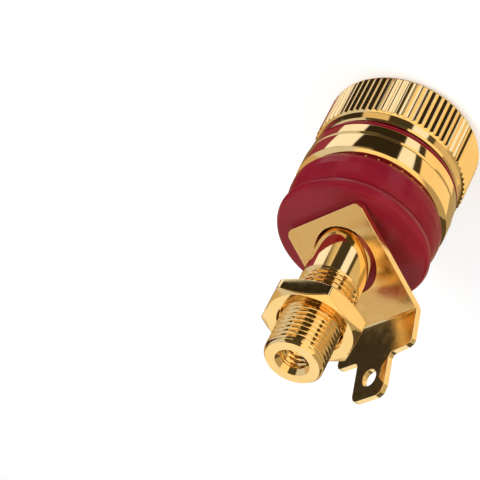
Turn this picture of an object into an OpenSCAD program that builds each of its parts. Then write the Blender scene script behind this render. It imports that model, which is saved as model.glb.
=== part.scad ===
// Binding post with a screw-down knob, a colour ring, panel insulators, a nut and a solder tag.
// It stands on the front end of its spindle; +Z runs to the threaded rear end of the stud.
// The bent side of the solder tag is toward +X. All sizes in millimetres.

/* [Post] */
// whole length of the post, front end of the spindle to rear end of the stud
post_len = 43.6; // [40:0.1:50]
// stud outside diameter, over the thread crests
stud_d = 8; // [6:0.1:8.4]
// plain shank between the thread and the insulators
shank_d = 7.9; // [6:0.1:8.4]
// length of the threaded part of the stud, from its rear end
stud_thread_len = 13.4; // [8:0.1:16]
// chamfer on the rear end of the stud
stud_chamfer = 0.35; // [0.1:0.05:0.8]
// tapped hole in the rear end, core diameter
tap_d = 3.3; // [2.5:0.1:4.2]
// depth of the tapped hole
tap_depth = 10; // [5:0.5:14]
// mouth of the countersink of the tapped hole
tap_mouth_d = 4.6; // [4.3:0.1:5.4]
// front spindle diameter, over the thread crests
spindle_d = 10; // [8.5:0.1:11]
// plug bore in the front end
plug_bore_d = 4; // [3:0.1:5]
// depth of the plug bore
plug_bore_depth = 21; // [14:0.5:23]
// chamfer at the mouth of the plug bore
plug_chamfer = 0.3; // [0.1:0.05:0.5]
// cross hole for a bare wire, through the spindle
wire_hole_d = 3.4; // [2:0.1:3.6]
// collar outside diameter, which the knob, the rings and the insulators follow
collar_d = 21.1; // [18.5:0.1:23]
// collar front face, measured from the front end
collar_z = 12.35; // [11.8:0.05:13]
// length of the plain band of the collar
collar_band = 2.75; // [1.5:0.05:3.2]
// width of the bevel behind the band
collar_bevel_w = 1.1; // [0.5:0.05:1.4]
// height of the bevel behind the band
collar_bevel_h = 0.6; // [0.3:0.05:1.2]
// number of teeth on the rim that is pressed in the front insulator
rim_teeth = 36; // [18:1:60]
// depth of those teeth
rim_tooth = 0.28; // [0.1:0.02:0.4]

/* [Clamp ring and colour ring] */
// thickness of the clamp ring
clamp_t = 1.95; // [1:0.05:2]
// how far the clamp ring lies inside the collar's outline, per side
clamp_inset = 0.1; // [0:0.05:0.4]
// thickness of the colour ring
colour_t = 0.7; // [0.4:0.05:0.8]
// how far the colour ring lies inside the collar's outline, per side
colour_inset = 0.25; // [0:0.05:0.5]

/* [Knob] */
// how far the knurl crests stand over the collar's outline, per side
knob_over = 0.05; // [0:0.05:0.5]
// length of the knob
knob_len = 8.5; // [7:0.05:8.6]
// number of V teeth in the knurl
knurl_teeth = 70; // [48:1:90]
// depth of the V teeth
knurl_depth = 0.28; // [0.2:0.02:0.6]
// length of the plain bevelled band behind the knurl
knob_band = 1.5; // [0.8:0.1:3]
// how far the rear edge of the knob lies inside the crests, per side
knob_rear_in = 0.7; // [0.5:0.05:1.2]
// how far the edge of the flat front face lies inside the crests, per side
knob_face_in = 1.4; // [0.9:0.05:2]
// height of the bevel at the front rim
knob_bevel = 0.95; // [0.4:0.05:1.5]
// how far the boss that carries the rings lies inside the crests, per side
boss_in = 2.1; // [1.6:0.1:2.6]
// recess in the front face, diameter
recess_d = 13.2; // [12:0.1:15]
// recess in the front face, depth
recess_depth = 2.4; // [1:0.1:4]

/* [Insulators] */
// how far the front insulator lies inside the collar's outline, per side
front_ins_in = 0.1; // [0:0.05:0.3]
// seat for the panel, measured from the front end
panel_z = 20.1; // [19.5:0.1:21]
// narrowing of both insulators toward the panel seat, per side
ins_taper = 0.7; // [0.1:0.05:1]
// spigot that goes in the panel hole, diameter
spigot_d = 11; // [9.8:0.1:13]
// spigot length
spigot_len = 1.4; // [0.8:0.1:1.6]
// how far the rear insulator lies inside the collar's outline, per side
rear_ins_in = 0.05; // [0:0.05:0.3]
// rear insulator thickness
rear_ins_t = 2.2; // [2:0.1:3.2]
// rounding of its rear rim
rear_ins_round = 0.7; // [0.2:0.1:1.2]

/* [Solder tag] */
// sheet thickness
tag_t = 0.8; // [0.5:0.05:1]
// width of the plate and of the upright flap
tag_w = 13.5; // [12:0.1:15]
// hole for the stud
tag_hole_d = 9.5; // [9.2:0.1:10.5]
// hole centre to free edge
tag_back = 6.35; // [5.8:0.05:7]
// hole centre to bend line
tag_front = 9.2; // [8.8:0.1:10]
// bend angle
tag_bend = 53.5; // [40:0.5:70]
// inside bend radius
tag_bend_r = 0.4; // [0.2:0.05:0.8]
// flap height at full width
flap_h = 5.2; // [3:0.1:6]
// solder tab width
tab_w = 5.7; // [4:0.1:7]
// flap and tab height together
tab_end = 11.1; // [10.2:0.1:13]
// solder hole diameter
solder_hole_d = 2.4; // [1.4:0.1:3]
// height of the solder hole above the bend line
solder_hole_h = 8.05; // [7:0.05:8.6]
// lean of the loose tag, whose free edge rests on the rear insulator
tag_lean = 20.4; // [17:0.1:21]
// side play of the loose tag on the shank, toward the bend
tag_play_x = 0.08; // [0:0.02:0.1]
// side play of the loose tag on the shank, sideways
tag_play_y = 0.3; // [0:0.05:0.4]

/* [Nut] */
// nut width over its flats
nut_af = 12; // [11:0.1:14]
// nut thickness
nut_t = 2.7; // [2:0.1:4]
// distance from the rear end of the stud to the nut
nut_from_end = 6.1; // [0.5:0.1:8]

/* [Fits] */
// running clearance between round parts that move, per side
run_gap = 0.05; // [0.02:0.01:0.1]
// clearance between the clamp ring and the collar
clamp_gap = 0.15; // [0.05:0.01:0.3]
// face to face clearance of the knob and the rings
face_gap = 0.06; // [0.05:0.01:0.15]
// clearance of the insulators, per side
ins_gap = 0.03; // [0.02:0.01:0.2]

/* [Hidden] */
$fn = 96;
stud_r = stud_d / 2;
shank_r = shank_d / 2;
stud_z = post_len - stud_thread_len;
spindle_r = spindle_d / 2;
collar_r = collar_d / 2;
bevel_z = collar_z + collar_band;
rim_z = bevel_z + collar_bevel_h;
rim_r = collar_r - collar_bevel_w;
root_r = rim_r - rim_tooth;
rim_len = 1.2;
neck_z = rim_z + rim_len;
neck_r = shank_r + 2;
neck_len = 0.8;
clamp_z = collar_z - clamp_gap - clamp_t;
colour_z = clamp_z - colour_t;
boss_z = colour_z - face_gap;
knob_z = 0.63;
knob_top = knob_z + knob_len;
knob_r = collar_r + knob_over;
rear_r = knob_r - knob_rear_in;
valley_r = knob_r - knurl_depth;
knurl_top = knob_top - knob_band;
face_r = knob_r - knob_face_in;
boss_r = knob_r - boss_in;
wire_z = collar_z - wire_hole_d / 2 - 0.25;
seat_z = panel_z + rear_ins_t;
tag_z = seat_z + tag_back * sin(tag_lean) + tag_t * cos(tag_lean) + 0.02;
nut_z = post_len - nut_from_end - nut_t;
nut_r = nut_af / 2 / cos(30);
nut_face_r = nut_af / 2 * 0.97;
nut_slope = tan(30);

brass = [0.89, 0.73, 0.42];
crimson = [0.55, 0.11, 0.17];

// closed ring of V teeth: crest radius r1, root radius r0
function v_ring(n, r1, r0) = [for (i = [0 : 2 * n - 1])
    let (a = 180 * i / n, r = (i % 2 == 0) ? r1 : r0) [r * cos(a), r * sin(a)]];

// one turned part: spindle, collar, shank and stud, bored from both ends
module post() {
    color(brass) difference() {
        union() {
            rotate_extrude() polygon([
                [0, 0], [spindle_r - 0.35, 0], [spindle_r, 0.35], [spindle_r, collar_z - 0.75],
                [spindle_r - 0.4, collar_z - 0.5], [spindle_r - 0.4, collar_z],
                [collar_r - 0.3, collar_z], [collar_r, collar_z + 0.2], [collar_r, bevel_z],
                [rim_r, rim_z], [root_r - 0.1, rim_z], [root_r - 0.1, neck_z],
                [neck_r, neck_z], [neck_r, neck_z + neck_len], [shank_r, neck_z + neck_len],
                [shank_r, stud_z - (stud_r - shank_r)], [stud_r, stud_z],
                [stud_r, post_len - stud_chamfer], [stud_r - stud_chamfer, post_len], [0, post_len]]);
            // toothed rim, pressed in the front insulator
            translate([0, 0, rim_z - 0.1]) linear_extrude(rim_len + 0.1)
                polygon(v_ring(rim_teeth, rim_r + 0.06, root_r));
        }
        // plug bore with its mouth and drill point
        translate([0, 0, -1]) cylinder(h = plug_bore_depth + 1, d = plug_bore_d);
        translate([0, 0, -0.01]) cylinder(h = plug_chamfer + 0.01,
            r1 = plug_bore_d / 2 + plug_chamfer + 0.01, r2 = plug_bore_d / 2);
        translate([0, 0, plug_bore_depth - 0.001]) cylinder(h = plug_bore_d * 0.29,
            d1 = plug_bore_d, d2 = 0.02);
        // tapped hole with its countersink and drill point
        translate([0, 0, post_len - tap_depth]) cylinder(h = tap_depth + 1, d = tap_d);
        translate([0, 0, post_len - tap_depth - tap_d * 0.29]) cylinder(h = tap_d * 0.29 + 0.001,
            d1 = 0.02, d2 = tap_d);
        translate([0, 0, post_len - (tap_mouth_d - tap_d) / 2]) cylinder(
            h = (tap_mouth_d - tap_d) / 2 + 0.01, d1 = tap_d, d2 = tap_mouth_d + 0.02);
        // cross hole for the wire
        translate([0, 0, wire_z]) rotate([90, 0, 0])
            cylinder(h = spindle_d + 2, d = wire_hole_d, center = true);
    }
}

// ring that presses the wire against the collar; it slides and does not turn
module clamp_ring() {
    r = collar_r - clamp_inset;
    color(brass) rotate_extrude() polygon([
        [spindle_r + run_gap, clamp_z], [r - 0.25, clamp_z], [r - 0.1, clamp_z + 0.3],
        [r, clamp_z + clamp_t - 0.2], [r - 0.2, clamp_z + clamp_t], [spindle_r + run_gap, clamp_z + clamp_t]]);
}

module colour_ring() {
    r = collar_r - colour_inset;
    color(crimson) rotate_extrude() polygon([
        [spindle_r + 0.6, colour_z], [r - 0.6, colour_z], [r - 0.1, colour_z + 0.25],
        [r, colour_z + 0.45], [r, clamp_z], [spindle_r + 0.6, clamp_z]]);
}

// knob: straight V knurl cut off by the turned profile, so that the teeth run out at both ends
module knob() {
    color(brass) difference() {
        union() {
            intersection() {
                translate([0, 0, knob_z]) linear_extrude(knob_len)
                    polygon(v_ring(knurl_teeth, knob_r, valley_r));
                rotate_extrude() polygon([
                    [0, knob_z], [face_r, knob_z], [knob_r - 0.5, knob_z + knob_bevel * 0.3],
                    [knob_r + 0.1, knob_z + knob_bevel * 1.15], [knob_r + 0.1, knurl_top - 0.05],
                    [valley_r - 0.06, knurl_top + 0.25], [rear_r + 0.08, knob_top - 0.3],
                    [rear_r - 0.1, knob_top], [0, knob_top]]);
            }
            translate([0, 0, knob_top - 1]) cylinder(h = boss_z - knob_top + 1, r = boss_r);
        }
        translate([0, 0, -1]) cylinder(h = knob_top + 3, r = spindle_r + run_gap);
        // recess round the end of the spindle
        translate([0, 0, knob_z - 0.01]) cylinder(h = recess_depth + 0.01, d = recess_d);
        translate([0, 0, knob_z - 0.01]) cylinder(h = 0.36, d1 = recess_d + 0.72, d2 = recess_d);
        translate([0, 0, knob_z + recess_depth - 0.001]) cylinder(h = 0.6, d1 = spindle_d + 1.2,
            d2 = spindle_d);
    }
}

// front insulator: a bead beside the collar, a seat for the panel and a spigot
module front_insulator() {
    r = collar_r - front_ins_in;
    c = 1;
    color(crimson) difference() {
        rotate_extrude() union() {
            polygon([[shank_r + ins_gap, neck_z + neck_len + 0.02], [neck_r + ins_gap, neck_z + neck_len + 0.02],
                [neck_r + ins_gap, rim_z], [r - c, rim_z], [r - c, rim_z + c], [r, rim_z + c],
                [r - 0.04, rim_z + c + 0.9], [r - ins_taper * 0.45, panel_z - 1], [r - ins_taper, panel_z],
                [spigot_d / 2, panel_z], [spigot_d / 2, panel_z + spigot_len],
                [shank_r + ins_gap, panel_z + spigot_len]]);
            intersection() {
                translate([r - c, rim_z + c]) circle(r = c);
                translate([r - c - 0.01, rim_z]) square([c + 0.01, c]);
            }
        }
        // seat of the toothed rim
        translate([0, 0, rim_z - 0.2]) linear_extrude(rim_len + 0.22)
            polygon(v_ring(rim_teeth, rim_r + 0.06 + ins_gap, root_r + ins_gap));
    }
}

// rear insulator: washer over the spigot, its rim leaves a shallow groove at the panel seat
module rear_insulator() {
    r = collar_r - rear_ins_in;
    k = rear_ins_round;
    color(crimson) rotate_extrude() union() {
        polygon([[spigot_d / 2 + ins_gap, panel_z + 0.02], [r - ins_taper, panel_z + 0.02],
            [r - ins_taper * 0.35, panel_z + 0.7], [r, seat_z - k], [r - k, seat_z - k], [r - k, seat_z],
            [shank_r + ins_gap, seat_z], [shank_r + ins_gap, panel_z + spigot_len + 0.02],
            [spigot_d / 2 + ins_gap, panel_z + spigot_len + 0.02]]);
        intersection() {
            translate([r - k, seat_z - k]) circle(r = k);
            translate([r - k - 0.01, seat_z - k]) square([k + 0.01, k]);
        }
    }
}

// cut-offs at the free corners of the plate, x along the plate
module plate_corners_2d() {
    w = tag_w / 2;
    b = tag_back;
    polygon([[-b + 0.9, w + 1], [-b + 0.9, w], [-b + 0.2, w - 0.4], [-b, w - 0.85], [-b - 1, w - 0.85], [-b - 1, w + 1]]);
    polygon([[-b + 0.75, -w - 1], [-b + 0.75, -w], [-b + 0.22, -w + 0.4], [-b, -w + 0.95], [-b - 1, -w + 0.95],
        [-b - 1, -w - 1]]);
}

// cut-offs beside the narrow tab, x runs up the flap
module flap_sides_2d() {
    h = tab_w / 2;
    w = tag_w / 2;
    f = flap_h;
    e = tab_end;
    polygon([[f - 0.7, -w - 1], [f - 0.7, -w], [f - 0.2, -w + 0.22], [f, -w + 0.8], [f, -h - 0.5],
        [f + 0.15, -h - 0.15], [f + 0.5, -h], [e - 0.9, -h], [e - 0.25, -h + 0.28], [e, -h + 0.95],
        [e + 1, -h + 0.95], [e + 1, -w - 1]]);
    polygon([[f - 0.95, w + 1], [f - 0.95, w], [f - 0.45, w - 0.28], [f - 0.2, w - 0.95], [f, h + 0.7],
        [f + 0.15, h + 0.25], [f + 0.6, h], [e - 1.4, h], [e - 0.35, h - 0.45], [e, h - 1.2],
        [e + 1, h - 1.2], [e + 1, w + 1]]);
}

// side profile of the bent sheet, x along the plate and y to its rear
module tag_side_2d() {
    a = tag_bend;
    r = tag_bend_r;
    q = r + tag_t;
    t = r * tan(a / 2);
    cx = tag_front - t;
    k = tag_t * tan(a / 2);
    difference() {
        union() {
            polygon([[-tag_back, 0], [-tag_back, -tag_t], [tag_front + k, -tag_t],
                [tag_front + tab_end * cos(a) + tag_t * sin(a), tab_end * sin(a) - tag_t * cos(a)],
                [tag_front + tab_end * cos(a), tab_end * sin(a)], [tag_front, 0]]);
            difference() {
                polygon([[cx, -0.2], [tag_front + 0.2, -0.2], [tag_front + t * cos(a) + 0.16, t * sin(a) - 0.12],
                    [tag_front + t * cos(a), t * sin(a)], [cx, r]]);
                translate([cx, r]) circle(r = r + 0.003);
            }
        }
        difference() {
            polygon([[cx, r], [cx, -tag_t - 0.6], [cx + q * tan(a / 2) + 0.6, -tag_t - 0.6],
                [cx + q * sin(a) * 1.5, r - q * cos(a) * 1.5]]);
            translate([cx, r]) circle(r = q + 0.003);
        }
    }
}

// one bent piece of sheet: pierced plate, bend, upright flap with the solder tab
module solder_tag() {
    color(brass) translate([tag_play_x, tag_play_y, tag_z]) rotate([0, -tag_lean, 0]) difference() {
        translate([0, tag_w / 2, 0]) rotate([90, 0, 0]) linear_extrude(tag_w) tag_side_2d();
        translate([0, 0, -2]) linear_extrude(3) plate_corners_2d();
        translate([0, 0, -2]) cylinder(h = 3, d = tag_hole_d);
        translate([tag_front, 0, 0]) rotate([0, -tag_bend, 0]) translate([0, 0, -2]) {
            linear_extrude(3) flap_sides_2d();
            translate([solder_hole_h, -0.15, 0]) cylinder(h = 3, d = solder_hole_d);
        }
    }
}

// thin hexagon nut, both faces chamfered at 30 degrees
module hex_nut() {
    e = nut_r * 1.02;
    color(brass) translate([0, 0, nut_z]) difference() {
        intersection() {
            rotate([0, 0, -2]) cylinder(h = nut_t, r = nut_r, $fn = 6);
            rotate_extrude() polygon([[0, 0], [nut_face_r, 0], [e, (e - nut_face_r) * nut_slope],
                [e, nut_t - (e - nut_face_r) * nut_slope], [nut_face_r, nut_t], [0, nut_t]]);
        }
        translate([0, 0, -1]) cylinder(h = nut_t + 2, r = stud_r + run_gap);
        translate([0, 0, -0.01]) cylinder(h = 0.41, r1 = stud_r + run_gap + 0.41, r2 = stud_r + run_gap);
        translate([0, 0, nut_t - 0.4]) cylinder(h = 0.41, r1 = stud_r + run_gap, r2 = stud_r + run_gap + 0.41);
    }
}

post();
clamp_ring();
colour_ring();
knob();
front_insulator();
rear_insulator();
solder_tag();
hex_nut();
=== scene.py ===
# A binding post dressed for its picture: turned gold with threads and knurl, moulded red plastic.
# Sizes are in millimetres until they become vertices.
import math
from collections import namedtuple

import bpy
import numpy as np
from mathutils import Matrix, Vector


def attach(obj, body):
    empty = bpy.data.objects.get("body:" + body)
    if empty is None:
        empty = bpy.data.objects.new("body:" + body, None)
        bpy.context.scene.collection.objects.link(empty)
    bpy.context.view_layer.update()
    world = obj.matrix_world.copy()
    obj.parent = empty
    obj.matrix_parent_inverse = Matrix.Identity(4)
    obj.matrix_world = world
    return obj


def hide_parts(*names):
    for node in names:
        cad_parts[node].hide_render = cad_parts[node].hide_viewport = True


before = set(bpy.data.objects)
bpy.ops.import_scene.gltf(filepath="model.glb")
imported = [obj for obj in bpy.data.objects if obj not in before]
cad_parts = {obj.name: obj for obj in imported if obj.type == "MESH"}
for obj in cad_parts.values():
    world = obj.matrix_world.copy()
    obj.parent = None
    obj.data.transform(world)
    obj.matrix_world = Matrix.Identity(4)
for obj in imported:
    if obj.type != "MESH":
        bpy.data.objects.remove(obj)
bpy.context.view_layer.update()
scene = bpy.context.scene
MM = 0.001
PI = math.pi
TURN = 2 * PI

# ---------------------------------------------------------------- sizes
# usual rounding of a turned edge, and the radius at which a pointed bore is closed
EDGE = 0.05
TIP_R = 0.001

# post, from its front end at z = 0 to the end of the stud
POST_LEN = 43.6
SPINDLE_R = 5.0
STUD_R = 4.0
SHANK_R = 3.95
PLUG_BORE_R = 2.0
PLUG_BORE_DEPTH = 21.0
PLUG_POINT = 1.16
TAP_R = 1.65
TAP_MOUTH_R = 2.31
TAP_DEPTH = 10.0
TAP_POINT = 0.96
UNDERCUT = 0.4
COLLAR_R = 10.55
COLLAR_Z = 12.35
BAND_TOP = 15.1
RIM_R = 9.45
RIM_ROOT_R = 9.1
RIM_Z = 15.7
RIM_TOP = 16.9
NECK_R = 5.95
NECK_TOP = 17.7
STUD_THREAD_Z = 30.2

# toothed rim between the collar and the front insulator
RIM_TEETH = 36
RIM_CREST_R = 9.78
RIM_VALLEY_R = 9.3
RIM_INNER_R = 8.0

# knob
KNOB_Z = 0.63
KNOB_TOP = KNOB_Z + 8.5
KNOB_R = 10.6
KNOB_BORE_R = 5.05
KNURL_TEETH = 70
KNURL_DEPTH = 0.27
KNURL_TOP = KNOB_TOP - 1.5
KNURL_LAND = 0.025
BOSS_R = 8.5
BOSS_TOP = 9.49
RECESS_R = 6.6
RECESS_TOP = KNOB_Z + 2.4

# clamp ring and colour ring
CLAMP_R = 10.45
CLAMP_Z = 10.25
CLAMP_TOP = 12.2
COLOUR_R = 10.3
COLOUR_BORE_R = 5.6
COLOUR_Z = 9.55
COLOUR_TOP = 10.24

# insulators
BEAD_R = 10.45
BEAD_Z = 15.72
PANEL_Z = 20.1
PANEL_R = 9.8
RIM_SEAT_R = 8.9
NECK_SEAT_R = 5.98
SPIGOT_R = 5.5
SPIGOT_TOP = 21.5
SHANK_SEAT_R = 3.98
WASHER_R = 10.52
WASHER_Z = 20.12
WASHER_TOP = 22.3
WASHER_BORE_R = 5.53
FACE_GAP = 0.02

# nut
NUT_Z = 34.8
NUT_T = 2.7
NUT_FLATS = 12.0
NUT_FACE_R = 5.82
NUT_CORNER_R = 6.86
NUT_TURN = math.radians(2.0)
NUT_CHAMFER = PI / 6
NUT_EASE = 0.16

# start and end height, pitch, depth, the radii between which it is cut, and the side it is cut from
Thread = namedtuple("Thread", "start end pitch depth r_low r_high side")
SPINDLE_THREAD = Thread(0.3, 11.5, 1.0, 0.55, 4.9, 5.01, 1)
STUD_THREAD = Thread(30.1, 43.35, 0.75, 0.42, 3.9, 4.01, 1)
TAP_THREAD = Thread(34.0, 43.1, 0.7, 0.33, 1.6, 1.7, -1)
THREAD_CREST = 0.1
THREAD_ROOT = 0.2

# ---------------------------------------------------------------- levels of light
FLOOR_GLOW = 0.38
WORLD_FILL = 0.6
KEY = 0.25
SIDE = 0.12
ROSE = (0.15, 0.03, 0.09)
CREAM = (0.54, 0.70, 1.25)
DIM_CREAM = (0.36, 0.45, 0.75)
BRONZE = (0.13, 0.10, 0.07)
SOFT_WHITE = (0.33, 0.31, 0.30)
COOL_WHITE = (0.52, 0.61, 0.85)
ZENITH = (0.62, 0.61, 0.58)
NADIR = (0.5, 0.49, 0.46)
WARM = (2.0, 1.54, 0.84)
# what stands round the object, by azimuth in degrees: well below, just below and above the horizon
LOW_BANDS = [
    (0, 0.54), (79, 0.03), (91, CREAM), (115, 0.015), (180, CREAM), (224, ROSE), (264, BRONZE), (302, 0.24)]
MID_BANDS = [(0, 0.37), (79, 0.05), (91, CREAM), (115, 0.03), (150, 0.4), (188, 0.02), (262, 0.3)]
HIGH_BANDS = [
    (0, 0.25), (60, 0.6), (120, 0.04), (180, DIM_CREAM), (240, SOFT_WHITE), (268, COOL_WHITE), (330, 0.05)]

# ---------------------------------------------------------------- camera
CAMERA_RIGHT = Vector((0.650935, 0.663395, -0.369041))
CAMERA_UP = Vector((-0.673275, 0.279928, -0.684355))
CAMERA_PLACE = Vector((-122.663, 214.236, 229.742))

cam_data = bpy.data.cameras.new("camera")
cam = bpy.data.objects.new("camera", cam_data)
scene.collection.objects.link(cam)
scene.camera = cam
cam_data.sensor_width = 36.0
cam_data.lens = 187.67
cam_data.clip_start = 0.01
cam_data.clip_end = 10.0
axes = Matrix((CAMERA_RIGHT, CAMERA_UP, CAMERA_RIGHT.cross(CAMERA_UP)))
place = axes.transposed().to_4x4()
place.translation = CAMERA_PLACE * MM
cam.matrix_world = place
scene.view_settings.view_transform = "Standard"

# ---------------------------------------------------------------- outlines and meshes


def add_object(name, verts, faces, body, material, sharp=32.0, replaces=()):
    """Mesh object that rides on a body; edges sharper than the angle in degrees stay crisp."""
    me = bpy.data.meshes.new(name)
    me.from_pydata([tuple(v) for v in verts], [], [tuple(f) for f in faces])
    me.validate()
    me.update()
    me.shade_smooth()
    me.set_sharp_from_angle(angle=math.radians(sharp))
    me.materials.append(material)
    ob = bpy.data.objects.new(name, me)
    scene.collection.objects.link(ob)
    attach(ob, body)
    if replaces:
        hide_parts(*replaces)
    return ob


def angles_round(count):
    return np.arange(count) * TURN / count


def ring_row(radius, z, angles):
    """One row of points round the axis; radius and z are numbers or one value for each angle."""
    return np.stack([radius * np.cos(angles), radius * np.sin(angles), z + 0 * angles], 1)


def grid_shell(rows, close=False):
    """Quads between neighbouring rows of points, each row closed round; close joins last to first."""
    count = len(rows[0])
    around = np.arange(count)
    onward = (around + 1) % count
    faces = []
    for i in range(len(rows) if close else len(rows) - 1):
        here = i * count
        there = ((i + 1) % len(rows)) * count
        faces += list(zip(here + around, here + onward, there + onward, there + around))
    return np.concatenate(rows) * MM, [tuple(int(x) for x in f) for f in faces]


def rounded(points, steps=3):
    """Outline of (radius, height, rounding) corners with each corner turned into an arc."""
    out = []
    for i, (r, z, rounding) in enumerate(points):
        corner = np.array((r, z), float)
        if i in (0, len(points) - 1) or rounding <= 0:
            out.append(corner)
            continue
        back = np.array(points[i - 1][:2], float) - corner
        ahead = np.array(points[i + 1][:2], float) - corner
        back_len = np.linalg.norm(back)
        ahead_len = np.linalg.norm(ahead)
        back /= back_len
        ahead /= ahead_len
        half = math.acos(max(-1, min(1, float(back @ ahead)))) / 2
        if half > PI / 2 - 0.02:
            out.append(corner)
            continue
        reach = min(rounding / math.tan(half), back_len * 0.45, ahead_len * 0.45)
        radius = reach * math.tan(half)
        middle = back + ahead
        centre = corner + middle / np.linalg.norm(middle) * (radius / math.sin(half))
        start = corner + back * reach - centre
        end = corner + ahead * reach - centre
        first = math.atan2(start[1], start[0])
        sweep = (math.atan2(end[1], end[0]) - first + PI) % TURN - PI
        for k in range(steps + 1):
            w = first + sweep * k / steps
            out.append(centre + radius * np.array([math.cos(w), math.sin(w)]))
    return out


def densify(outline, z_low, z_high, step, r_low=0.0, r_high=math.inf):
    """Adds points along the outline's straight stretches that lie within the given limits."""
    out = [outline[0]]
    for p in outline[1:]:
        q = out[-1]
        inside = all(
            r_low <= v[0] <= r_high and z_low - 1e-6 <= v[1] <= z_high + 1e-6 for v in (p, q))
        pieces = int(np.linalg.norm(p - q) / step) if inside else 0
        for k in range(1, pieces):
            out.append(q + (p - q) * k / pieces)
        out.append(p)
    return out


def thread_fall(thread, z, angles):
    """How far a thread's surface lies under its crest, running out at both ends."""
    wave = ((z - thread.start) / thread.pitch - angles / TURN) % 1.0
    wave = np.abs(wave - 0.5) * 2
    flank = np.clip((wave - THREAD_CREST) / (1 - THREAD_CREST - THREAD_ROOT), 0, 1)
    soft = flank * flank * (3 - 2 * flank) * 0.35 + flank * 0.65
    run_out = thread.pitch * 0.9
    fade = np.clip((z - thread.start) / run_out, 0, 1) * np.clip((thread.end - z) / run_out, 0, 1)
    return soft * thread.depth * fade


def lathe(outline, count, threads=()):
    """Rows of a turned shape, with threads cut where the outline runs between their limits."""
    angles = angles_round(count)
    rows = []
    for r, z in outline:
        radius = np.full(count, float(r))
        for t in threads:
            if t.r_low <= r <= t.r_high and t.start <= z <= t.end:
                radius = radius - t.side * thread_fall(t, z, angles)
        rows.append(ring_row(radius, z, angles))
    return rows


def tooth_wave(teeth, steps):
    """1 on the crest of each V tooth and 0 in its valley, with that many points to a tooth."""
    return np.abs((np.arange(teeth * steps) / float(steps)) % 1.0 - 0.5) * 2


def soft_min(a, b, width=0.03):
    """The lesser of two values, blended where they are about as large."""
    h = np.clip(0.5 + 0.5 * (b - a) / width, 0, 1)
    return b + (a - b) * h - width * h * (1 - h)


# ---------------------------------------------------------------- materials


def node_material(name):
    """New material with one Principled shader: the material, its node tree and the shader."""
    material = bpy.data.materials.new(name)
    material.use_nodes = True
    tree = material.node_tree
    tree.nodes.clear()
    out = tree.nodes.new("ShaderNodeOutputMaterial")
    shader = tree.nodes.new("ShaderNodeBsdfPrincipled")
    tree.links.new(shader.outputs[0], out.inputs[0])
    return material, tree, shader


def noise(tree, scale, detail, rough=0.5):
    place = tree.nodes.new("ShaderNodeTexCoord")
    texture = tree.nodes.new("ShaderNodeTexNoise")
    texture.inputs["Scale"].default_value = scale
    texture.inputs["Detail"].default_value = detail
    texture.inputs["Roughness"].default_value = rough
    tree.links.new(place.outputs["Object"], texture.inputs["Vector"])
    return texture.outputs["Fac"]


def math_node(tree, operation, a, b):
    node = tree.nodes.new("ShaderNodeMath")
    node.operation = operation
    for i, value in enumerate((a, b)):
        if isinstance(value, (int, float)):
            node.inputs[i].default_value = value
        else:
            tree.links.new(value, node.inputs[i])
    return node.outputs[0]


def bump(tree, height, strength, distance, normal=None):
    node = tree.nodes.new("ShaderNodeBump")
    node.inputs["Strength"].default_value = strength
    node.inputs["Distance"].default_value = distance
    tree.links.new(height, node.inputs["Height"])
    if normal is not None:
        tree.links.new(normal, node.inputs["Normal"])
    return node.outputs[0]


def turning_rings(tree, scale):
    """Fine lathe marks: noise of the height and of the distance from the axis."""
    place = tree.nodes.new("ShaderNodeTexCoord")
    parts = tree.nodes.new("ShaderNodeSeparateXYZ")
    tree.links.new(place.outputs["Object"], parts.inputs[0])
    x_square = math_node(tree, "MULTIPLY", parts.outputs[0], parts.outputs[0])
    y_square = math_node(tree, "MULTIPLY", parts.outputs[1], parts.outputs[1])
    radius = math_node(tree, "SQRT", math_node(tree, "ADD", x_square, y_square), 0)
    flat = tree.nodes.new("ShaderNodeCombineXYZ")
    tree.links.new(radius, flat.inputs[0])
    tree.links.new(parts.outputs[2], flat.inputs[1])
    texture = tree.nodes.new("ShaderNodeTexNoise")
    texture.inputs["Scale"].default_value = scale
    texture.inputs["Detail"].default_value = 4
    tree.links.new(flat.outputs[0], texture.inputs["Vector"])
    return texture.outputs["Fac"]


def vary_colour(tree, shader, tone, dark, light):
    ramp = tree.nodes.new("ShaderNodeValToRGB")
    for stop, position, colour in zip(ramp.color_ramp.elements, (0.3, 0.7), (dark, light)):
        stop.position = position
        stop.color = (*colour, 1)
    tree.links.new(tone, ramp.inputs[0])
    tree.links.new(ramp.outputs[0], shader.inputs["Base Color"])


def vary_roughness(tree, shader, wear, low, high):
    span = tree.nodes.new("ShaderNodeMapRange")
    span.inputs["From Min"].default_value = 0.35
    span.inputs["From Max"].default_value = 0.7
    span.inputs["To Min"].default_value = low
    span.inputs["To Max"].default_value = high
    tree.links.new(wear, span.inputs["Value"])
    tree.links.new(span.outputs[0], shader.inputs["Roughness"])


def gold(name, light, dark, rough, grain, rings=0.0):
    """Gold plating with wear, fine grain and, where rings is above 0, lathe marks."""
    material, tree, shader = node_material(name)
    shader.inputs["Metallic"].default_value = 1.0
    vary_colour(tree, shader, noise(tree, 260, 3), dark, light)
    vary_roughness(tree, shader, noise(tree, 900, 5, rough=0.6), rough * 0.75, rough * 1.5)
    normal = None
    if rings:
        normal = bump(tree, turning_rings(tree, 9000), rings, 0.00002)
    normal = bump(tree, noise(tree, 5200, 4, rough=0.7), grain, 0.00002, normal)
    tree.links.new(normal, shader.inputs["Normal"])
    return material


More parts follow.
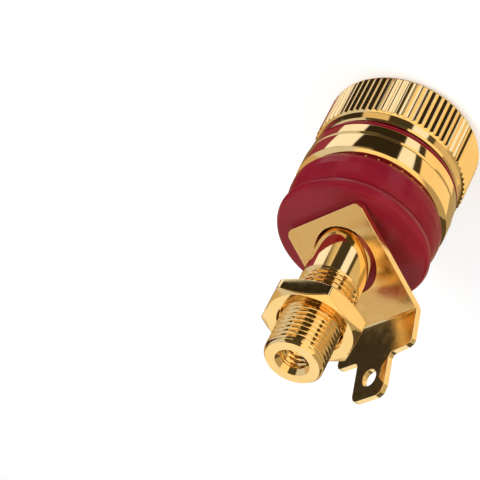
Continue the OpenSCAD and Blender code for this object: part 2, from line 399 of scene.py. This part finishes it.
def plastic(name, light, dark, rough):
    """Glossy moulded plastic with a faint orange peel."""
    material, tree, shader = node_material(name)
    vary_colour(tree, shader, noise(tree, 180, 3), dark, light)
    vary_roughness(tree, shader, noise(tree, 700, 4), rough * 0.8, rough * 1.35)
    shader.inputs["IOR"].default_value = 1.5
    shader.inputs["Subsurface Weight"].default_value = 0.08
    shader.inputs["Subsurface Radius"].default_value = (1.0, 0.25, 0.2)
    shader.inputs["Subsurface Scale"].default_value = 0.0006
    shader.inputs["Specular IOR Level"].default_value = 0.18
    normal = bump(tree, noise(tree, 420, 2), 0.10, 0.00012)
    normal = bump(tree, noise(tree, 4200, 4, rough=0.7), 0.10, 0.00002, normal)
    tree.links.new(normal, shader.inputs["Normal"])
    return material


GOLD = gold("gold_turned", (0.95, 0.73, 0.40), (0.92, 0.68, 0.34), 0.055, 0.03, rings=0.03)
SHEET = gold("gold_sheet", (0.95, 0.77, 0.48), (0.91, 0.71, 0.40), 0.16, 0.22)
RED = plastic("red_gloss", (0.275, 0.010, 0.024), (0.225, 0.007, 0.018), 0.2)

# ---------------------------------------------------------------- post
post_outline = rounded([
    (TIP_R, PLUG_BORE_DEPTH + PLUG_POINT, 0),
    (PLUG_BORE_R, PLUG_BORE_DEPTH, 0),
    (PLUG_BORE_R, 0.32, EDGE),
    (PLUG_BORE_R + 0.3, 0.0, EDGE),
    (SPINDLE_R - 0.35, 0.0, 0.06),
    (SPINDLE_R, 0.35, EDGE),
    (SPINDLE_R, COLLAR_Z - 0.75, EDGE),
    (SPINDLE_R - UNDERCUT, COLLAR_Z - 0.5, EDGE),
    (SPINDLE_R - UNDERCUT, COLLAR_Z, 0.1),
    (COLLAR_R - 0.3, COLLAR_Z, 0.06),
    (COLLAR_R, COLLAR_Z + 0.2, 0.08),
    (COLLAR_R, BAND_TOP, 0.1),
    (RIM_R, RIM_Z, EDGE),
    (RIM_ROOT_R, RIM_Z + 0.02, 0.02),
    (RIM_ROOT_R, RIM_TOP, EDGE),
    (NECK_R, RIM_TOP, EDGE),
    (NECK_R, NECK_TOP, EDGE),
    (SHANK_R, NECK_TOP, EDGE),
    (SHANK_R, STUD_THREAD_Z - 0.05, 0.03),
    (STUD_R, STUD_THREAD_Z, 0.03),
    (STUD_R, POST_LEN - 0.4, EDGE),
    (STUD_R - 0.38, POST_LEN, 0.06),
    (TAP_MOUTH_R, POST_LEN, 0.06),
    (TAP_R + 0.01, POST_LEN - 0.65, 0.04),
    (TAP_R, POST_LEN - TAP_DEPTH, 0),
    (TIP_R, POST_LEN - TAP_DEPTH - TAP_POINT, 0)])
# enough points along each thread to show its flanks
post_outline = densify(post_outline, 0.3, 11.6, 0.085, 4.95, 5.01)
post_outline = densify(post_outline, 29.0, 43.3, 0.058, 3.9, 4.01)
post_outline = densify(post_outline, 33.5, 43.0, 0.08, 1.6, 1.7)
verts, faces = grid_shell(lathe(post_outline, 128, (SPINDLE_THREAD, STUD_THREAD, TAP_THREAD)))
post = add_object("post_turned", verts, faces, "fixed", GOLD, replaces=("post",))

# toothed rim; its open inner edge lies inside the post
RIM_STEPS = 6
rim_angles = angles_round(RIM_TEETH * RIM_STEPS)
rim_radius = RIM_VALLEY_R + (RIM_CREST_R - RIM_VALLEY_R) * tooth_wave(RIM_TEETH, RIM_STEPS)
rim_low = RIM_Z - 0.1
rim_high = RIM_TOP - 0.1
verts, faces = grid_shell([
    ring_row(RIM_INNER_R, rim_low, rim_angles), ring_row(rim_radius, rim_low, rim_angles),
    ring_row(rim_radius, rim_high, rim_angles), ring_row(RIM_INNER_R, rim_high, rim_angles)])
rim = add_object("post_rim_teeth", verts, faces, "fixed", GOLD)

# ---------------------------------------------------------------- knob
# the blank is a little wider than the crests, so that the teeth cut it and run out on its bevels
BLANK_R = KNOB_R + 0.1
blank = rounded([
    (KNOB_R - 1.4, KNOB_Z, 0),
    (KNOB_R - 0.5, KNOB_Z + 0.285, 0.12),
    (BLANK_R, KNOB_Z + 1.09, 0.2),
    (BLANK_R, KNURL_TOP - 0.05, 0.02),
    (KNOB_R - 0.48, KNURL_TOP + 0.25, 0.1),
    (KNOB_R - 0.62, KNOB_TOP - 0.3, 0.12),
    (KNOB_R - 0.8, KNOB_TOP, 0.08),
    (BOSS_R, KNOB_TOP, 0.03),
    (BOSS_R, BOSS_TOP, EDGE),
    (KNOB_BORE_R, BOSS_TOP, 0)], steps=5)
blank = densify(blank, KNOB_Z - 0.03, KNOB_Z + 1.12, 0.05)
blank = densify(blank, KNURL_TOP - 0.13, KNURL_TOP + 0.32, 0.05)
bore_outline = [(KNOB_BORE_R, BOSS_TOP - 0.19 - 0.5 * i) for i in range(12)] + [
    (KNOB_BORE_R + 0.05, RECESS_TOP + 0.52),
    (KNOB_BORE_R + 0.55, RECESS_TOP),
    (RECESS_R - 0.05, RECESS_TOP),
    (RECESS_R, RECESS_TOP - 0.05),
    (RECESS_R, KNOB_Z + 0.42),
    (RECESS_R + 0.06, KNOB_Z + 0.32),
    (RECESS_R + 0.33, KNOB_Z + 0.03),
    (RECESS_R + 0.4, KNOB_Z)]
KNURL_STEPS = 10
KNURL_INNER_R = 8.9
knob_angles = angles_round(KNURL_TEETH * KNURL_STEPS)
tooth = KNOB_R - KNURL_DEPTH * (1 - tooth_wave(KNURL_TEETH, KNURL_STEPS))
tooth = np.minimum(tooth, KNOB_R - KNURL_LAND)
knob_rows = [ring_row(soft_min(r, tooth) if r > KNURL_INNER_R else r, z, knob_angles) for r, z in blank]
knob_rows += [ring_row(r, z, knob_angles) for r, z in bore_outline]
verts, faces = grid_shell(knob_rows, close=True)
knob = add_object("knob_turned", verts, faces, "knob", GOLD, sharp=38, replaces=("knob",))

# ---------------------------------------------------------------- rings and insulators


def turned(name, points, body, material, replaces, steps=5):
    """Closed ring from an outline that starts in the middle of a straight side."""
    outline = rounded(points + [points[0]], steps=steps)
    verts, faces = grid_shell(lathe(outline[:-1], 192), close=True)
    ob = add_object(name, verts, faces, body, material, replaces=replaces)


turned("clamp_ring_turned", [
    (KNOB_BORE_R, CLAMP_Z + 0.75, 0),
    (KNOB_BORE_R, CLAMP_Z, EDGE),
    (CLAMP_R - 0.25, CLAMP_Z, EDGE),
    (CLAMP_R - 0.09, CLAMP_Z + 0.31, 0.12),
    (CLAMP_R, CLAMP_TOP - 0.2, 0.08),
    (CLAMP_R - 0.18, CLAMP_TOP, 0.07),
    (KNOB_BORE_R, CLAMP_TOP, EDGE)], "clamp", GOLD, ("clamp_ring",))

turned("colour_ring_moulded", [
    (COLOUR_BORE_R, COLOUR_Z + 0.35, 0),
    (COLOUR_BORE_R, COLOUR_Z, EDGE),
    (COLOUR_R - 0.58, COLOUR_Z, 0.08),
    (COLOUR_R - 0.1, COLOUR_Z + 0.24, 0.12),
    (COLOUR_R, COLOUR_Z + 0.45, 0.1),
    (COLOUR_R, COLOUR_TOP, 0.04),
    (COLOUR_BORE_R, COLOUR_TOP, EDGE)], "clamp", RED, ("colour_ring",))

turned("front_insulator_moulded", [
    (NECK_SEAT_R, NECK_TOP + 0.9, 0),
    (NECK_SEAT_R, NECK_TOP + 0.05, 0.03),
    (RIM_SEAT_R, NECK_TOP, 0.03),
    (RIM_SEAT_R, BEAD_Z, 0.02),
    (BEAD_R - 1.07, BEAD_Z, 0.03),
    (BEAD_R - 0.33, BEAD_Z + 0.26, 0.4),
    (BEAD_R, BEAD_Z + 1.03, 0.8),
    (BEAD_R - 0.02, PANEL_Z - 2.2, 1.2),
    (BEAD_R - 0.25, PANEL_Z - 0.9, 1.2),
    (PANEL_R, PANEL_Z, 0.12),
    (SPIGOT_R, PANEL_Z, EDGE),
    (SPIGOT_R, SPIGOT_TOP, EDGE),
    (SHANK_SEAT_R, SPIGOT_TOP, EDGE),
    (SHANK_SEAT_R, NECK_TOP + 0.9, 0.02)], "fixed", RED, ("front_insulator",))

turned("rear_insulator_moulded", [
    (WASHER_BORE_R, WASHER_Z + 0.68, 0),
    (WASHER_BORE_R, WASHER_Z, 0.03),
    (PANEL_R, WASHER_Z, 0.12),
    (WASHER_R - 0.24, WASHER_Z + 0.63, 0.5),
    (WASHER_R, WASHER_TOP - 0.8, 0.7),
    (WASHER_R - 0.32, WASHER_TOP, 0.75),
    (WASHER_R - 0.92, WASHER_TOP, 0),
    (SHANK_SEAT_R, WASHER_TOP, 0.08),
    (SHANK_SEAT_R, SPIGOT_TOP + FACE_GAP, 0.03),
    (WASHER_BORE_R, SPIGOT_TOP + FACE_GAP, 0.03)], "fixed", RED,
    ("rear_insulator",), steps=7)

# ---------------------------------------------------------------- nut
nut_angles = angles_round(6 * 40)
from_flat = (nut_angles + NUT_TURN) % (PI / 3) - PI / 6
hexagon = (NUT_FLATS / 2) / np.cos(from_flat)
nut_edge = soft_min(hexagon, NUT_CORNER_R, 0.06)
nut_fall = (nut_edge - NUT_FACE_R) * math.tan(NUT_CHAMFER)
# half of the outside, from the face over the chamfer and its eased edge to the middle of the flat
half = [(NUT_FACE_R + (nut_edge - NUT_FACE_R) * k, nut_fall * k) for k in (0, 0.3, 0.55)]
for k in range(6):
    tilt = -PI / 3 * (1 - k / 5)
    half.append((
        nut_edge - NUT_EASE * (1 - math.cos(tilt)),
        nut_fall + NUT_EASE * (math.tan(NUT_CHAMFER) + math.sin(tilt))))
half.append((nut_edge, NUT_T / 2))
# radius of the threaded hole and of its countersink, by depth under the face
mouth = [(4.05, 0.5), (4.08, 0.4), (4.4, 0.08), (4.46, 0.02), (4.55, 0)]
nut_outline = half + [(r, NUT_T - z) for r, z in reversed(half[:-1])]
nut_outline += [(r, NUT_T - depth) for r, depth in reversed(mouth)] + mouth
nut_rows = [ring_row(r, NUT_Z + z, nut_angles) for r, z in nut_outline]
verts, faces = grid_shell(nut_rows, close=True)
nut = add_object("hex_nut_turned", verts, faces, "nut", GOLD, sharp=28, replaces=("hex_nut",))

# ---------------------------------------------------------------- solder tag
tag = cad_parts["solder_tag"]
tag.data.materials.clear()
tag.data.materials.append(SHEET)
for modifier in list(tag.modifiers):
    tag.modifiers.remove(modifier)
weld = tag.modifiers.new("weld", "WELD")
weld.merge_threshold = 2e-6
bevel = tag.modifiers.new("bevel", "BEVEL")
bevel.width = EDGE * MM
bevel.segments = 2
bevel.limit_method = "ANGLE"
bevel.angle_limit = math.radians(40)
bevel.harden_normals = False

# ---------------------------------------------------------------- floor
FLOOR_HALF = 1.5
floor_me = bpy.data.meshes.new("floor")
floor_me.from_pydata(
    [(x * FLOOR_HALF, y * FLOOR_HALF, 0) for x, y in ((-1, -1), (1, -1), (1, 1), (-1, 1))],
    [], [(0, 1, 2, 3)])
floor = bpy.data.objects.new("floor", floor_me)
floor.location.z = -0.00002
scene.collection.objects.link(floor)
floor_material, tree, matt = node_material("floor_pale")
matt.inputs["Base Color"].default_value = (0.8, 0.8, 0.8, 1)
matt.inputs["Roughness"].default_value = 0.9
matt.inputs["Specular IOR Level"].default_value = 0.0
out = [n for n in tree.nodes if n.type == "OUTPUT_MATERIAL"][0]
rays = tree.nodes.new("ShaderNodeLightPath")
glow = tree.nodes.new("ShaderNodeEmission")
glow.inputs["Color"].default_value = (1, 1, 1, 1)
glow.inputs["Strength"].default_value = FLOOR_GLOW
glowing = tree.nodes.new("ShaderNodeAddShader")
tree.links.new(matt.outputs[0], glowing.inputs[0])
tree.links.new(glow.outputs[0], glowing.inputs[1])
# the glow is for the camera alone, and reflections look through the floor at the world
seen = tree.nodes.new("ShaderNodeMixShader")
tree.links.new(rays.outputs["Is Camera Ray"], seen.inputs[0])
tree.links.new(matt.outputs[0], seen.inputs[1])
tree.links.new(glowing.outputs[0], seen.inputs[2])
clear = tree.nodes.new("ShaderNodeBsdfTransparent")
reflected = tree.nodes.new("ShaderNodeMixShader")
tree.links.new(rays.outputs["Is Glossy Ray"], reflected.inputs[0])
tree.links.new(seen.outputs[0], reflected.inputs[1])
tree.links.new(clear.outputs[0], reflected.inputs[2])
tree.links.new(reflected.outputs[0], out.inputs[0])
floor_me.materials.append(floor_material)

# ---------------------------------------------------------------- world
# the studio round the object: white reflectors and dark cards, by direction
world = bpy.data.worlds.new("world")
scene.world = world
world.use_nodes = True
sky_tree = world.node_tree
background = sky_tree.nodes["Background"]
background.inputs[1].default_value = 1.0


def band_ramp(azimuth, bands):
    """Colours by azimuth; bands: (from degree, level or colour), with edges 2 degrees wide."""
    stops = []
    ends = [start for start, _ in bands[1:]] + [360]
    for (start, colour), end in zip(bands, ends):
        if isinstance(colour, (int, float)):
            colour = (colour, colour, colour)
        stops.append(((start + 1) / 360, colour))
        stops.append(((end - 1) / 360, colour))
    ramp = sky_tree.nodes.new("ShaderNodeValToRGB")
    elements = ramp.color_ramp.elements
    while len(elements) < len(stops):
        elements.new(0.5)
    for element, (position, colour) in zip(elements, stops):
        element.position = position
        element.color = (*colour, 1)
    sky_tree.links.new(azimuth, ramp.inputs[0])
    return ramp.outputs[0]


def mix_rgb(factor, a, b):
    node = sky_tree.nodes.new("ShaderNodeMix")
    node.data_type = "RGBA"
    for name, kind, value in (("Factor", "VALUE", factor), ("A", "RGBA", a), ("B", "RGBA", b)):
        socket = [i for i in node.inputs if i.name == name and i.type == kind][0]
        if isinstance(value, tuple):
            socket.default_value = (*value, 1)
        else:
            sky_tree.links.new(value, socket)
    return [o for o in node.outputs if o.type == "RGBA"][0]


def step_up(value, low, high):
    """0 below low, 1 above high and even between them."""
    node = sky_tree.nodes.new("ShaderNodeMapRange")
    node.inputs["From Min"].default_value = low
    node.inputs["From Max"].default_value = high
    sky_tree.links.new(value, node.inputs["Value"])
    return node.outputs[0]


direction = sky_tree.nodes.new("ShaderNodeTexCoord")
parts = sky_tree.nodes.new("ShaderNodeSeparateXYZ")
sky_tree.links.new(direction.outputs["Generated"], parts.inputs[0])
height = parts.outputs[2]
depth = math_node(sky_tree, "MULTIPLY", height, -1.0)
bearing = math_node(sky_tree, "ARCTAN2", parts.outputs[1], parts.outputs[0])
azimuth = math_node(sky_tree, "FRACT", math_node(sky_tree, "DIVIDE", bearing, TURN), 0)
low = band_ramp(azimuth, LOW_BANDS)
mid = band_ramp(azimuth, MID_BANDS)
high = band_ramp(azimuth, HIGH_BANDS)
sky = mix_rgb(step_up(height, -0.56, -0.5), low, mid)
sky = mix_rgb(step_up(height, -0.1, 0.05), sky, high)
sky = mix_rgb(step_up(height, 0.86, 0.90), sky, ZENITH)
sky = mix_rgb(step_up(depth, 0.93, 0.96), sky, NADIR)
warmed = sky_tree.nodes.new("ShaderNodeVectorMath")
warmed.operation = "MULTIPLY"
warmed.inputs[1].default_value = WARM
sky_tree.links.new(sky, warmed.inputs[0])
# only reflections see the bands; other rays get an even fill, and the camera gets white
rays = sky_tree.nodes.new("ShaderNodeLightPath")
fill = (WORLD_FILL, WORLD_FILL, WORLD_FILL)
shown = mix_rgb(rays.outputs["Is Glossy Ray"], fill, warmed.outputs[0])
shown = mix_rgb(rays.outputs["Is Camera Ray"], shown, (1.0, 1.0, 1.0))
sky_tree.links.new(shown, background.inputs[0])

# ---------------------------------------------------------------- lights
LIGHT_AIM = Vector((0, 0, 22)) * MM


def softbox(name, centre, size, strength):
    """Soft rectangular light, aimed at the middle of the post and unseen by reflections."""
    light = bpy.data.lights.new(name, "AREA")
    light.shape = "RECTANGLE"
    light.size = size[0] * MM
    light.size_y = size[1] * MM
    light.energy = strength
    ob = bpy.data.objects.new(name, light)
    scene.collection.objects.link(ob)
    ob.location = Vector(centre) * MM
    ob.rotation_euler = (LIGHT_AIM - ob.location).to_track_quat("-Z", "Y").to_euler()
    ob.visible_glossy = False


softbox("key", (-160, 60, 170), (130, 130), KEY)
softbox("side", (120, 120, 90), (100, 160), SIDE)
